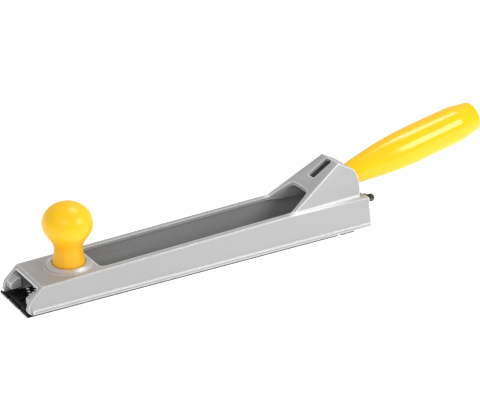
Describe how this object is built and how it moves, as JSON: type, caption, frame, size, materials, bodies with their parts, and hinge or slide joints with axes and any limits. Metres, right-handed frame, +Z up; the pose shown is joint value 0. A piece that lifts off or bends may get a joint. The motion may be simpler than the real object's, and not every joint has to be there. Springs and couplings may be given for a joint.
{
  "type": "rasp plane",
  "caption": "Long open-trough rasp plane: cast body, stretched perforated blade, ball knob in front and a tapered handle on a round seat at the rear.",
  "frame": {"origin": "middle of the blade's underside, which is what the tool stands on", "axes": "+X along the blade from the nose to the handle, +Y across, +Z up from the blade"},
  "size_m": [0.3919, 0.044, 0.0717],
  "materials": {
    "cast_body": "silver-grey painted casting, satin",
    "blade": "black lacquered tool steel",
    "grip": "glossy yellow",
    "dark_steel": "black-oxide steel",
    "zinc_steel": "zinc plated",
    "brass": "plain"
  },
  "bodies": {
    "body": {"body_casting": "cast_body", "blade": "blade", "front_hook_plate": "dark_steel", "hook_plate_screw_left": "zinc_steel", "hook_plate_screw_right": "zinc_steel", "front_knob": "grip", "knob_insert": "brass", "knob_screw": "zinc_steel", "knob_washer": "zinc_steel", "knob_lock_washer": "zinc_steel"},
    "clamp": {"blade_clamp": "dark_steel", "clamp_nut": "zinc_steel"},
    "tension_screw": {"tension_rod": "zinc_steel", "knurled_thumb_screw": "dark_steel", "tension_washer": "zinc_steel", "retaining_clip": "dark_steel"},
    "handle": {"rear_handle": "grip", "handle_insert": "brass", "handle_bolt": "zinc_steel", "handle_washer": "zinc_steel", "handle_lock_washer": "zinc_steel", "saddle_washer": "zinc_steel"}
  },
  "joints": [
    {"name": "clamp_slide", "type": "slide", "parent": "body", "child": "clamp", "axis": [-1, 0, 0], "range_m": [0, 0.003]},
    {"name": "tension_screw_turn", "type": "hinge", "parent": "body", "child": "tension_screw", "pos_m": [0.1574, 0, 0.0128], "axis": [1, 0, 0], "range_deg": [0, 1350]},
    {"name": "handle_tilt", "type": "hinge", "parent": "body", "child": "handle", "pos_m": [0.126, 0, 0.0322], "axis": [0, -1, 0], "range_deg": [-5, 8]}
  ],
  "couplings": [
    {"joint": "tension_screw_turn", "follows": "clamp_slide", "rad_per_m": 7853.9}
  ]
}
